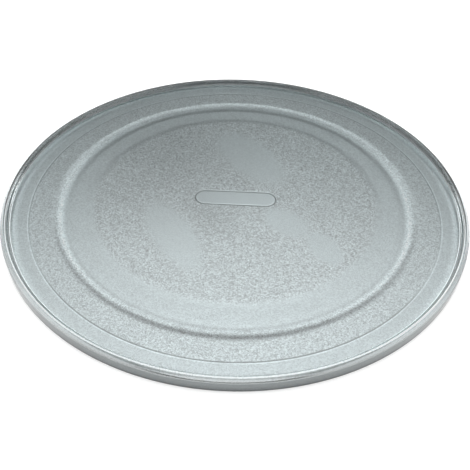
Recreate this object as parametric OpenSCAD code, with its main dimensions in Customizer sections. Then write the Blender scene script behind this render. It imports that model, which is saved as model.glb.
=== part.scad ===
// Glass turntable plate of a microwave oven, pressed in one piece from clear glass.
//
// Food stands on the flat smooth top, and the rim keeps spills in. The underside holds the track
// for the wheels of the roller ring, and a low rib round the track that keeps the plate centred on
// them. On a table the plate rests on the crest of that rib. A blank oval outline is pressed in
// relief in the middle of the underside and shows through the glass.
//
// Millimetres, +Z up. The origin lies on the plate's axis, at the level of the rib's crest.

/* [Plate] */
// Diameter over the rim
plate_d = 360; // [340:1:480]
// Thickness of the glass between the rib and the rim
glass_t = 6.6; // [4:0.1:10]
// Draft of the outer edge, in degrees from upright, which lets the plate leave its mould
edge_draft = 1.5; // [0.5:0.5:6]
// Rounding of the lower outer edge
lower_edge_r = 1.2; // [0.4:0.1:2.5]

/* [Rim] */
// Height of the rim's crown above the flat top
rim_h = 3.9; // [2.6:0.1:12]
// Width of the rim at its crown
rim_w = 5; // [4.3:0.1:12]
// Rounding of the rim's outer shoulder
rim_outer_r = 3; // [0.8:0.1:3.7]
// Rounding of the rim's inner shoulder
rim_inner_r = 1.2; // [0.4:0.1:1.9]
// Hollow rounding between the flat top and the rim
rim_foot_r = 1.5; // [0.4:0.1:2.8]
// Draft of the rim's inner wall, in degrees from upright
rim_draft = 12; // [3:1:35]

/* [Roller track] */
// Diameter of the circle that the wheels run on, in the middle of the track
track_d = 244; // [150:1:258]
// Width of the smooth track
track_w = 10; // [8:0.5:20]
// Height of the stippled floor above the track
floor_h = 0.15; // [0.1:0.05:1.5]
// Width of the soft edge between the floor and the track
floor_edge_w = 8; // [2:0.5:12]

/* [Locating rib] */
// Height of the rib, from the track to its crest
rib_h = 0.25; // [0.2:0.05:2.5]
// Width of the rib's inner flank, which guides the wheels
rib_inner_w = 7.5; // [3:0.5:9]
// Width of the rib's level crest
rib_crest_w = 2; // [1:0.5:6]
// Width of the rib's outer flank
rib_outer_w = 8; // [3:0.5:9]

/* [Ledge and land] */
// Height of the stippled ledge above the rib's crest
ledge_h = 0.6; // [0.5:0.05:3]
// Width of the smooth land between the stippled ledge and the outer edge
land_w = 19.5; // [12:0.5:24]
// Step from the stippled ledge down to the smooth land
land_step = 0.15; // [0.1:0.05:0.5]
// Width of that step
land_step_w = 0.8; // [0.5:0.1:3]

/* [Oval outline] */
// Length of the raised oval outline in the middle of the floor
oval_len = 65; // [32:1:120]
// Width of the oval
oval_w = 17.5; // [8:0.5:30]
// Width of the raised line
oval_line_w = 1; // [0.5:0.1:2.5]
// Height of the raised line, measured from the floor
oval_line_h = 0.25; // [0.1:0.05:0.3]

/* [Hidden] */
$fn = 180;
// Straight lengths that each rounded shoulder and each arc of a soft step is drawn with
shoulder_steps = 10;
step_steps = 6;

// Levels of the underside, of the flat top and of the rim's crown
track_z = rib_h;
floor_z = track_z + floor_h;
ledge_z = ledge_h;
land_z = ledge_z - land_step;
top_z = ledge_z + glass_t;
crown_z = top_z + rim_h;

// Radii of the underside's edges, from the axis outwards
plate_r = plate_d / 2;
track_in_r = (track_d - track_w) / 2;
track_out_r = (track_d + track_w) / 2;
floor_r = track_in_r - floor_edge_w;
rib_in_r = track_out_r + rib_inner_w;
rib_out_r = rib_in_r + rib_crest_w;
ledge_in_r = rib_out_r + rib_outer_w;
land_in_r = plate_r - land_w;
ledge_out_r = land_in_r - land_step_w;

// Centres of the two shoulders of the rim
outer_shoulder = [plate_r - rim_outer_r, crown_z - rim_outer_r];
inner_shoulder = [plate_r - rim_w + rim_inner_r, crown_z - rim_inner_r];

// Centre of the rounded lower edge: it touches the land and the drafted outer edge
lower_edge = [
    outer_shoulder.x + (rim_outer_r - lower_edge_r) * cos(edge_draft)
        - tan(edge_draft) * (outer_shoulder.y - land_z - lower_edge_r
            - (rim_outer_r - lower_edge_r) * sin(edge_draft)),
    land_z + lower_edge_r
];

// Centre of the hollow rounding: it touches the flat top and the rim's drafted inner wall
rim_foot = [
    inner_shoulder.x - (rim_inner_r + rim_foot_r) * cos(rim_draft)
        - tan(rim_draft) * (rim_h - (rim_inner_r + rim_foot_r) * (1 - sin(rim_draft))),
    top_z + rim_foot_r
];

// Points of an arc, from one angle to another
function arc(centre, radius, from, to, steps) = [
    for (i = [0 : steps])
        let (a = from + (to - from) * i / steps)
        centre + radius * [cos(a), sin(a)]
];

// Soft step between two levels: two equal arcs that touch the levels and each other
function soft_step(r0, z0, r1, z1) =
    let (
        width = r1 - r0,
        height = z1 - z0,
        way = sign(height),
        radius = (width * width + height * height) / (4 * abs(height)),
        sweep = 2 * atan(abs(height) / width)
    )
    concat(
        arc([r0, z0 + way * radius], radius, -90 * way, way * (sweep - 90), step_steps),
        arc([r1, z1 - way * radius], radius, way * (sweep + 90), 90 * way, step_steps)
    );

// Underside from the axis to the smooth land
function underside() = concat(
    [[0, floor_z]],
    soft_step(floor_r, floor_z, track_in_r, track_z),
    soft_step(track_out_r, track_z, rib_in_r, 0),
    soft_step(rib_out_r, 0, ledge_in_r, ledge_z),
    soft_step(ledge_out_r, ledge_z, land_in_r, land_z)
);

// Outer edge and rim, from the land up over the crown and down to the flat top
function edge_and_rim() = concat(
    arc(lower_edge, lower_edge_r, -90, -edge_draft, shoulder_steps),
    arc(outer_shoulder, rim_outer_r, -edge_draft, 90, shoulder_steps),
    arc(inner_shoulder, rim_inner_r, 90, 180 - rim_draft, shoulder_steps),
    arc(rim_foot, rim_foot_r, -rim_draft, -90, shoulder_steps)
);

// Flat oval with round ends, lying along X
module oval(length, width) {
    square([length - width, width], center = true);
    for (side = [-1, 1])
        translate([side * (length - width) / 2, 0])
            circle(d = width);
}

// Raised line round the oval. It starts inside the glass and stands out below the floor
module oval_line() {
    translate([0, 0, floor_z - oval_line_h])
        linear_extrude(oval_line_h + glass_t / 2)
            difference() {
                oval(oval_len, oval_w);
                oval(oval_len - 2 * oval_line_w, oval_w - 2 * oval_line_w);
            }
}

// The whole plate: its section turned once round the axis, with the oval line on its underside
module turntable_plate() {
    color([0.66, 0.71, 0.72]) {
        rotate_extrude()
            polygon(concat(underside(), edge_and_rim(), [[0, top_z]]));
        oval_line();
    }
}

turntable_plate();
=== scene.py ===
import math

import bpy
from mathutils import Matrix, Vector


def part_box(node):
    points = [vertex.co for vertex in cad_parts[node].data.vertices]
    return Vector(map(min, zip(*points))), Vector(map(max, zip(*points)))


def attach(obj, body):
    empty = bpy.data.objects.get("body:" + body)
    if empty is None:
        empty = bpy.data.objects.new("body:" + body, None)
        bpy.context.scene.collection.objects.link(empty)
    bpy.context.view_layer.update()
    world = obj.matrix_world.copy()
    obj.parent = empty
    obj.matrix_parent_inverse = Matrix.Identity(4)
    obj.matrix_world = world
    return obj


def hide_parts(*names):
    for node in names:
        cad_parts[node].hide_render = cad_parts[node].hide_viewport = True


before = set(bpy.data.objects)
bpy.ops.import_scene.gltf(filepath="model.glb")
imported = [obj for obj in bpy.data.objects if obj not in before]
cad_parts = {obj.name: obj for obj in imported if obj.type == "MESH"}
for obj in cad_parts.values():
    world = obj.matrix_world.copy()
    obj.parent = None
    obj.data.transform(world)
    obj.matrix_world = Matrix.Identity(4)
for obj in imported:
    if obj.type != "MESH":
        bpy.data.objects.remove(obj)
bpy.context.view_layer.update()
bpy.context.scene.view_settings.view_transform = "Standard"

# Turntable plate
# One pressing of borosilicate glass. The plunger leaves the top flat and smooth inside a low
# upturned rim. The mould below it leaves the stipple, the smooth roller track, the rib that keeps
# the rollers centred, the plain smooth land under the rim and a blank oval outline in the middle.
mm = 0.001
low_corner, high_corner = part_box("turntable_plate")
plate_r = min(-low_corner.x, high_corner.x, -low_corner.y, high_corner.y)
rest_z = 0.0
track_z = 0.25 * mm
floor_z = 0.4 * mm
ledge_z = 0.6 * mm
land_z = 0.45 * mm
top_z = 7.2 * mm
crown_z = 11.1 * mm

floor_r = 109 * mm
track_in_r = 117 * mm
track_out_r = 127 * mm
rib_in_r = 134.5 * mm
rib_out_r = 136.5 * mm
ledge_in_r = 144.5 * mm
ledge_out_r = 159.7 * mm
land_in_r = 160.5 * mm

rim_w = 5 * mm
rim_outer_r = 3 * mm
rim_inner_r = 1.2 * mm
rim_foot_r = 1.5 * mm
lower_edge_r = 1.2 * mm
rim_draft = 12
edge_draft = 1.5

oval_len = 65 * mm
oval_w = 17.5 * mm
oval_line_w = 1.0 * mm
oval_line_h = 0.25 * mm

around = 512
shoulder_steps = 10
step_steps = 6
line_steps = 8
support = 0.3 * mm


def arc(centre, radius, start, stop, steps):
    """Points of an arc in the plate's section, from one angle to another in degrees."""
    angles = [math.radians(start + (stop - start) * i / steps) for i in range(steps + 1)]
    return [(centre[0] + radius * math.cos(a), centre[1] + radius * math.sin(a)) for a in angles]


def soft_step(r0, z0, r1, z1):
    """Two equal arcs that touch two levels and each other, as the mould's soft steps do."""
    width, height = r1 - r0, z1 - z0
    way = math.copysign(1, height)
    radius = (width ** 2 + height ** 2) / (4 * abs(height))
    sweep = 2 * math.degrees(math.atan(abs(height) / width))
    low = arc((r0, z0 + way * radius), radius, -90 * way, way * (sweep - 90), step_steps)
    high = arc((r1, z1 - way * radius), radius, way * (sweep + 90), 90 * way, step_steps)
    return low + high[1:]


def level(r0, r1, z):
    """Two rings close to the ends of a level stretch, which keep its shading flat."""
    return [(r0 + support, z), (r1 - support, z)]


def between(first, last, share):
    """A point on the straight way from one point of the section to another."""
    return tuple(a + (b - a) * share for a, b in zip(first, last))


def lean(centre, radius, draft):
    """Where a drafted wall leaves a rounding."""
    return centre + radius * math.cos(math.radians(draft))


outer_shoulder = (plate_r - rim_outer_r, crown_z - rim_outer_r)
inner_shoulder = (plate_r - rim_w + rim_inner_r, crown_z - rim_inner_r)
edge_lean = math.tan(math.radians(edge_draft))
edge_gap = rim_outer_r - lower_edge_r
lower_edge_z = land_z + lower_edge_r
lower_edge_x = lean(outer_shoulder[0], edge_gap, edge_draft) - edge_lean * (
    outer_shoulder[1] - lower_edge_z - edge_gap * math.sin(math.radians(edge_draft)))
foot_lean = math.tan(math.radians(rim_draft))
foot_gap = rim_inner_r + rim_foot_r
foot_x = lean(inner_shoulder[0], -foot_gap, rim_draft) - foot_lean * (
    crown_z - top_z - foot_gap * (1 - math.sin(math.radians(rim_draft))))

# The section runs from the middle of the underside out, up over the rim and back in along the top.
underside = [(floor_r - support, floor_z)]
underside += soft_step(floor_r, floor_z, track_in_r, track_z)
underside += level(track_in_r, track_out_r, track_z)
underside += soft_step(track_out_r, track_z, rib_in_r, rest_z)
underside += level(rib_in_r, rib_out_r, rest_z)
underside += soft_step(rib_out_r, rest_z, ledge_in_r, ledge_z)
underside += level(ledge_in_r, ledge_out_r, ledge_z)
underside += soft_step(ledge_out_r, ledge_z, land_in_r, land_z)
underside += [(land_in_r + share * support, land_z) for share in (1, 2, 3, 4)]
underside += [(r * mm, land_z) for r in (167.5, 171.5, 173, 176)]
underside += [(lower_edge_x - support, land_z)]
lower_edge = arc((lower_edge_x, lower_edge_z), lower_edge_r, -90, -edge_draft, shoulder_steps)
wall_head = arc(outer_shoulder, rim_outer_r, -edge_draft, 8, 2)
wall = [between(lower_edge[-1], wall_head[0], share) for share in (0.1, 0.2, 0.35, 0.6, 0.8)]
outer_wall = lower_edge + wall + wall_head
crown = arc(outer_shoulder, rim_outer_r, 16, 90, shoulder_steps)
lip = arc(inner_shoulder, rim_inner_r, 90, 180 - rim_draft, shoulder_steps)
lip += arc((foot_x, top_z + rim_foot_r), rim_foot_r, -rim_draft, -90, shoulder_steps)
top = [(foot_x - support, top_z), (foot_x - 4 * mm, top_z)]
top += [(r * mm, top_z) for r in (150, 120, 90, 60, 30)]


def circle_ring(radius, height):
    """A ring of points round the plate's axis."""
    turns = [2 * math.pi * i / around for i in range(around)]
    return [(radius * math.cos(a), radius * math.sin(a), height) for a in turns]


def oval_ring(radius, height):
    """A ring of points round the oval, whose ends have that radius."""
    straight = oval_len - oval_w
    half_way = straight + math.pi * radius
    points = []
    for i in range(around):
        way = 2 * half_way * i / around
        side = 1 if way < half_way else -1
        way = way % half_way
        along = min(max(way - math.pi * radius / 2, 0), straight)
        turn = (way - along) / radius
        x = straight / 2 - along + radius * math.cos(turn)
        y = radius * math.sin(turn)
        points.append((side * x, side * y, height))
    return points


# The oval's line is a low rounded ridge on the floor, with the stipple left off inside it.
oval_r = oval_w / 2
blank_rings = [oval_ring(share * oval_r, floor_z) for share in (0.3, 0.6, 0.8)]
line_rings = []
for i in range(line_steps + 1):
    share = i / line_steps
    drop = oval_line_h * math.sin(math.pi * share) ** 2
    line_rings.append(oval_ring(oval_r - oval_line_w * (1 - share), floor_z - drop))
floor_rings = [oval_ring(oval_r + 1 * mm, floor_z)]
floor_rings += [circle_ring(r * mm, floor_z) for r in (50, 80)]
floor_rings += [circle_ring(r, z) for r, z in underside]

polished, stippled, edge, rim, inner_lip = range(5)
bands = [(stippled, blank_rings + line_rings + floor_rings)]
for finish, outline in ((edge, outer_wall), (rim, crown), (inner_lip, lip), (polished, top)):
    bands.append((finish, [circle_ring(r, z) for r, z in outline]))
rings = [ring for finish, part in bands for ring in part]
ring_finish = [finish for finish, part in bands for ring in part]
vertices = [point for ring in rings for point in ring]
vertices.append((0, 0, top_z))

faces, face_finish = [], []
for k in range(len(rings) - 1):
    for i in range(around):
        here, there = k * around + i, k * around + (i + 1) % around
        faces.append((here, there, there + around, here + around))
        face_finish.append(ring_finish[k])
for i in range(around // 2):
    strip = (-i % around, around - i - 1, i + 1, i)
    faces.append(tuple(dict.fromkeys(strip)))
    face_finish.append(stippled)
last_ring = (len(rings) - 1) * around
for i in range(around):
    faces.append((last_ring + i, last_ring + (i + 1) % around, len(vertices) - 1))
    face_finish.append(polished)

plate_mesh = bpy.data.meshes.new("glass_plate")
plate_mesh.from_pydata(vertices, [], faces)
plate_mesh.shade_smooth()
plate_mesh.polygons.foreach_set("material_index", face_finish)
plate = bpy.data.objects.new("glass_plate", plate_mesh)
bpy.context.collection.objects.link(plate)


def peak(value, middle, half_width):
    """One in the middle of a stretch, falling to nothing at its two ends."""
    return max(1 - abs(value - middle) / half_width, 0)


def rise(value, start, stop):
    """Nothing before the start, one after the stop."""
    return min(max((value - start) / (stop - start), 0), 1)


def stipple_share(x, y, z):
    """How rough the mould is: the floor most, then the ledge, the track and the land hardly."""
    radius = math.hypot(x, y)
    floor = rise(-radius, -track_in_r, -floor_r)
    ledge = (0.6 if radius < rib_out_r else 0.8) * rise(radius, rib_in_r - 3 * mm, rib_in_r)
    return 0.4 if radius > ledge_out_r else max(floor, ledge, 0.4)


def painted_shading(x, y, z):
    """How bright the underside's painted light and shade make it beside plain glass, which is one.
    """
    radius = max(math.hypot(x, y), mm)
    sideways, far, near = (x / radius) ** 2, max(y / radius, 0), max(-y / radius, 0)
    # The rib's crest gets a painted highlight, most at the two sides, and its flanks painted shade
    # at the far and the near side.
    crest_r = (134.5 + 1.7 * sideways + 3 * near) * mm
    crest_w = (2.8 + 1.5 * sideways) * mm
    crest = (0.045 + 0.63 * sideways + 0.11 * near) * peak(radius, crest_r, crest_w)
    flanks = 0.27 * far * peak(radius, 138.9 * mm, 3.2 * mm)
    flanks += 0.22 * near * peak(radius, 133.7 * mm, 1.8 * mm)
    # The small step gets a painted highlight line, with a painted shade line inside it at the front.
    step = 0.45 * peak(radius, land_in_r + 0.6 * mm, 0.6 * mm)
    shade = 0.6 * rise(near, 0.5, 0.7) * peak(radius, land_in_r - 0.4 * mm, 0.7 * mm)
    # Painted light falls on the land at its two sides and all round close under the rim.
    land = 0.6 * sideways ** 2 * rise(radius, 167.5 * mm, 171.5 * mm)
    corner = 0.6 * rise(radius, 173 * mm, 176 * mm)
    return 1 - flanks - shade + max(crest, step, land, corner)


def edge_painted_shade(x, y, z):
    """Painted shade on the upright edge, darker towards its foot, most of all at the front."""
    return 1 - 0.65 * rise(-y / plate_r, -0.2, 0.2) * rise(-z, -4.5 * mm, -1.5 * mm)


def mirror_share(finish, x, y, z):
    """How much the rim mirrors. Past its two sides the lip mirrors more, and the crown less."""
    front = -y / max(math.hypot(x, y), mm)
    if finish == inner_lip:
        return 0.05 + 0.65 * rise(front, -0.1, 0.25) * (1 - 0.85 * rise(front, 0.55, 0.85))
    return 0.28 - 0.18 * rise(front, -0.2, 0.1) * (1 - rise(front, 0.35, 0.65))


point_finish = [finish for finish in ring_finish for i in range(around)] + [polished]
finished = list(zip(point_finish, vertices))
stipple_at = [stipple_share(*point) for point in vertices]
painted_shading_at = [edge_painted_shade(*point) if finish == edge else painted_shading(*point) for finish, point in finished]
mirror_at = [mirror_share(finish, *point) for finish, point in finished]
# The oval's line has no stipple, and gets a painted highlight along its inner side and painted shade
# past its top.
for k in range(len(blank_rings), len(blank_rings) + line_steps + 1):
    share = (k - len(blank_rings)) / line_steps
    for i in range(k * around, (k + 1) * around):
        stipple_at[i] = 0
        painted_shading_at[i] = 0.6 if 0.4 < share <= 0.9 else 1.2 if share < 0.3 else 1
for i in range(len(blank_rings) * around):
    stipple_at[i] = 0
for name, values in (("stipple", stipple_at), ("painted_shading", painted_shading_at), ("mirror", mirror_at)):
    look = plate_mesh.attributes.new(name, "FLOAT", "POINT")
    look.data.foreach_set("value", values)


def glass(name, roughness, mirror, colour):
    """Clear, faintly grey-green glass. Mirror is the share of light that its surface turns back."""
    material = bpy.data.materials.new(name)
    material.use_nodes = True
    nodes, links = material.node_tree.nodes, material.node_tree.links
    shader = nodes["Principled BSDF"]
    shader.inputs["Base Color"].default_value = (*colour, 1)
    shader.inputs["Transmission Weight"].default_value = 1.0
    shader.inputs["IOR"].default_value = 1.5
    shader.inputs["Roughness"].default_value = roughness
    shader.inputs["Metallic"].default_value = mirror
    tint = nodes.new("ShaderNodeVolumeAbsorption")
    tint.inputs["Color"].default_value = (0.42, 0.49, 0.50, 1)
    tint.inputs["Density"].default_value = 55
    links.new(tint.outputs[0], nodes["Material Output"].inputs["Volume"])
    return material


def feed(tree, socket, value):
    """Gives a socket a number, a colour or what another node gives out."""
    if isinstance(value, (int, float, tuple)):
        socket.default_value = value
    else:
        tree.links.new(value, socket)


def work_out(tree, operation, *values):
    """One sum in a node tree."""
    step = tree.nodes.new("ShaderNodeMath")
    step.operation = operation
    for socket, value in zip(step.inputs, values):
        feed(tree, socket, value)
    return step.outputs[0]


def ramp(tree, value, start, stop, first, last):
    """Goes softly from the first value to the last one between start and stop."""
    soft = tree.nodes.new("ShaderNodeMapRange")
    soft.interpolation_type = "SMOOTHERSTEP"
    soft.inputs["From Min"].default_value = start
    soft.inputs["From Max"].default_value = stop
    soft.inputs["To Min"].default_value = first
    soft.inputs["To Max"].default_value = last
    tree.links.new(value, soft.inputs["Value"])
    return soft.outputs[0]


def patch(tree, where, x, y, half_w, half_l, turned):
    """A soft oval patch of the floor: one in its middle, nothing outside it."""
    place = tree.nodes.new("ShaderNodeMapping")
    place.vector_type = "TEXTURE"
    place.inputs["Location"].default_value = (x * mm, y * mm, 0)
    place.inputs["Rotation"].default_value = (0, 0, math.radians(turned))
    place.inputs["Scale"].default_value = (half_w * mm, half_l * mm, 1)
    tree.links.new(where, place.inputs["Vector"])
    fade = tree.nodes.new("ShaderNodeTexGradient")
    fade.gradient_type = "SPHERICAL"
    tree.links.new(place.outputs["Vector"], fade.inputs["Vector"])
    return fade.outputs["Fac"]


def painted(tree, name):
    """A value that every point of the mesh carries."""
    share = tree.nodes.new("ShaderNodeAttribute")
    share.attribute_name = name
    return share.outputs["Fac"]


def blend(tree, share, first, second):
    """A mix of two colours."""
    mix = tree.nodes.new("ShaderNodeMix")
    mix.data_type = "RGBA"
    tree.links.new(share, mix.inputs["Factor"])
    feed(tree, mix.inputs["A"], first)
    feed(tree, mix.inputs["B"], second)
    return mix.outputs["Result"]


def toned(tree, colour, painted_brightness):
    """A colour made brighter or duller by painted light and shade."""
    scaled = tree.nodes.new("ShaderNodeVectorMath")
    scaled.operation = "SCALE"
    feed(tree, scaled.inputs[0], colour)
    feed(tree, scaled.inputs["Scale"], painted_brightness)
    return scaled.outputs["Vector"]


clear_top = glass("polished_glass", 0.04, 0.0, (1, 1, 1))

# The stipple is a close packing of small facets, and each turns back its own share of the light.
# It fades out in soft smooth patches that are a little brighter, painted reflections, and two wide
# patches are darker, painted shade.
stipple_glass = glass("stippled_glass", 0.3, 0.8, (1, 1, 1))
tree = stipple_glass.node_tree
shader = tree.nodes["Principled BSDF"]
where = tree.nodes.new("ShaderNodeTexCoord").outputs["Object"]
facets = tree.nodes.new("ShaderNodeTexVoronoi")
facets.inputs["Scale"].default_value = 1500
tree.links.new(where, facets.inputs["Vector"])
one_of = tree.nodes.new("ShaderNodeSeparateColor")
tree.links.new(facets.outputs["Color"], one_of.inputs[0])
facet_colour = blend(tree, one_of.outputs[0], (0.24, 0.255, 0.26, 1), (0.75, 0.81, 0.82, 1))

# Soft patches where the stipple fades and the glass is a little brighter: painted reflections.
smooth_and_sheen = patch(tree, where, -45, -46, 20, 54, 29)
for place in ((10, 56, 26, 56, 36), (40, -27, 17, 26, 49), (68, -54, 14, 24, 30)):
    smooth_and_sheen = work_out(tree, "MAXIMUM", smooth_and_sheen, patch(tree, where, *place))
rough = work_out(tree, "MULTIPLY", painted(tree, "stipple"), ramp(tree, smooth_and_sheen, 0, 0.5, 1, 0.25))
# Two wide patches darken the underside: painted shade.
floor_painted_shade = work_out(tree, "MULTIPLY_ADD", patch(tree, where, -62, 48, 105, 120, 0), -0.22, 1)
floor_painted_shade = work_out(tree, "MULTIPLY_ADD", patch(tree, where, -18, -22, 22, 44, 25), -0.12, floor_painted_shade)
# The underside's painted light and shade, and the floor's painted shade, scale its colour.
painted_brightness = work_out(tree, "MULTIPLY", painted(tree, "painted_shading"), floor_painted_shade)
colour = blend(tree, rough, (0.54, 0.59, 0.60, 1), facet_colour)
tree.links.new(toned(tree, colour, painted_brightness), shader.inputs["Base Color"])
grain = tree.nodes.new("ShaderNodeTexNoise")
grain.inputs["Scale"].default_value = 800
tree.links.new(where, grain.inputs["Vector"])
bump = tree.nodes.new("ShaderNodeBump")
bump.inputs["Distance"].default_value = 0.06 * mm
tree.links.new(grain.outputs[0], bump.inputs["Height"])
tree.links.new(rough, bump.inputs["Strength"])
tree.links.new(bump.outputs[0], shader.inputs["Normal"])

# The fire-polished rim mirrors more, and the upright edge has a dark colour, painted shade, with
# more painted shade towards its foot.
edge_painted_dark = (0.295, 0.32, 0.325)
edge_glass = glass("edge_glass", 0.15, 0.65, edge_painted_dark)
tree = edge_glass.node_tree
shader = tree.nodes["Principled BSDF"]
tree.links.new(toned(tree, edge_painted_dark, painted(tree, "painted_shading")), shader.inputs["Base Color"])
rim_glass = glass("rim_glass", 0.15, 0.28, (0.82, 0.855, 0.86))
lip_glass = glass("lip_glass", 0.15, 0.05, (0.81, 0.87, 0.88))
for material in (rim_glass, lip_glass):
    tree = material.node_tree
    tree.links.new(painted(tree, "mirror"), tree.nodes["Principled BSDF"].inputs["Metallic"])
for material in (clear_top, stipple_glass, edge_glass, rim_glass, lip_glass):
    plate_mesh.materials.append(material)

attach(plate, "root")
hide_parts("turntable_plate")

# Studio floor
# A plain white sheet of card that the plate lies on. The camera, the reflections and the view
# through the glass all show it white, and it keeps the plate's shadow.
bpy.ops.mesh.primitive_plane_add(size=12, location=(0, 0, -0.05 * mm))
floor = bpy.context.object
floor.name = "studio_floor"
card = bpy.data.materials.new("white_card")
card.use_nodes = True
tree = card.node_tree
shader = tree.nodes["Principled BSDF"]
shader.inputs["Base Color"].default_value = (0.8, 0.8, 0.8, 1)
shader.inputs["Roughness"].default_value = 0.9
shader.inputs["Specular IOR Level"].default_value = 0.0
shader.inputs["Emission Color"].default_value = (1, 1, 1, 1)
ray = tree.nodes.new("ShaderNodeLightPath").outputs
seen = work_out(tree, "MAXIMUM", ray["Is Camera Ray"], ray["Is Glossy Ray"])
seen = work_out(tree, "MAXIMUM", seen, ray["Is Transmission Ray"])
tree.links.new(work_out(tree, "MULTIPLY", seen, 0.28), shader.inputs["Emission Strength"])
floor.data.materials.append(card)

# Studio light
# One large soft box hangs high behind the plate and another, weaker one in front of it. Two narrow
# ones stand at the sides, one hangs overhead, and the walls are pale low down and dim above.
world = bpy.data.worlds.new("studio")
bpy.context.scene.world = world
world.use_nodes = True
tree = world.node_tree
background = tree.nodes["Background"]
background.inputs["Color"].default_value = (1, 1, 1, 1)
sky = tree.nodes.new("ShaderNodeTexCoord").outputs["Generated"]
toward = tree.nodes.new("ShaderNodeSeparateXYZ")
tree.links.new(sky, toward.inputs[0])


def soft_box(side, up, width, inner, outer, strength, beyond):
    """Light from a box at an angle above the floor, on the far side (1) or the near side (-1)."""
    narrowed = tree.nodes.new("ShaderNodeVectorMath")
    narrowed.operation = "MULTIPLY"
    narrowed.inputs[1].default_value = (width, 1, 1)
    tree.links.new(sky, narrowed.inputs[0])
    away = tree.nodes.new("ShaderNodeVectorMath")
    away.operation = "DISTANCE"
    away.inputs[1].default_value = (0, side * math.cos(math.radians(up)), math.sin(math.radians(up)))
    tree.links.new(narrowed.outputs[0], away.inputs[0])
    return ramp(tree, away.outputs["Value"], inner, outer, strength, beyond)


light = soft_box(1, 55, 0.6, 0.1, 0.44, 2.9, 0.25)
light = work_out(tree, "ADD", light, soft_box(-1, 42, 1, 0.3, 0.65, 1.8, 0))
light = work_out(tree, "ADD", light, ramp(tree, toward.outputs["Z"], 0.88, 0.98, 0, 0.9))
sides = ramp(tree, work_out(tree, "ABSOLUTE", toward.outputs["X"]), 0.4, 0.65, 0, 1.5)
stronger_behind = ramp(tree, toward.outputs["Y"], 0.4, 0.75, 1, 2.4)
light = work_out(tree, "MULTIPLY_ADD", sides, stronger_behind, light)
walls = ramp(tree, toward.outputs["Z"], 0, 0.3, 0.8, 0)
not_in_front = ramp(tree, toward.outputs["Y"], -0.7, -0.1, 0, 1)
light = work_out(tree, "MULTIPLY_ADD", walls, not_in_front, light)
seen = tree.nodes.new("ShaderNodeLightPath").outputs["Is Camera Ray"]
tree.links.new(work_out(tree, "MAXIMUM", light, seen), background.inputs["Strength"])

# Camera
# It looks down on the plate at the photograph's angle.
camera_at = Vector((0, -403.8, 331.1)) * mm
camera_aim = Vector((0.22, -43.85, 3.8)) * mm
camera_roll = math.radians(1.43)
camera_turn = math.radians(1.7)
camera_data = bpy.data.cameras.new("camera")
camera_data.lens = 49.81
camera = bpy.data.objects.new("camera", camera_data)
bpy.context.collection.objects.link(camera)
ahead = (camera_aim - camera_at).normalized()
level_right = ahead.cross(Vector((0, 0, 1))).normalized()
level_up = level_right.cross(ahead)
right = level_right * math.cos(camera_roll) + level_up * math.sin(camera_roll)
up = level_up * math.cos(camera_roll) - level_right * math.sin(camera_roll)
facing = Matrix((right, up, -ahead)).transposed().to_4x4()
turn = Matrix.Rotation(camera_turn, 4, "Z")
camera.matrix_world = turn @ Matrix.Translation(camera_at) @ facing
bpy.context.scene.camera = camera
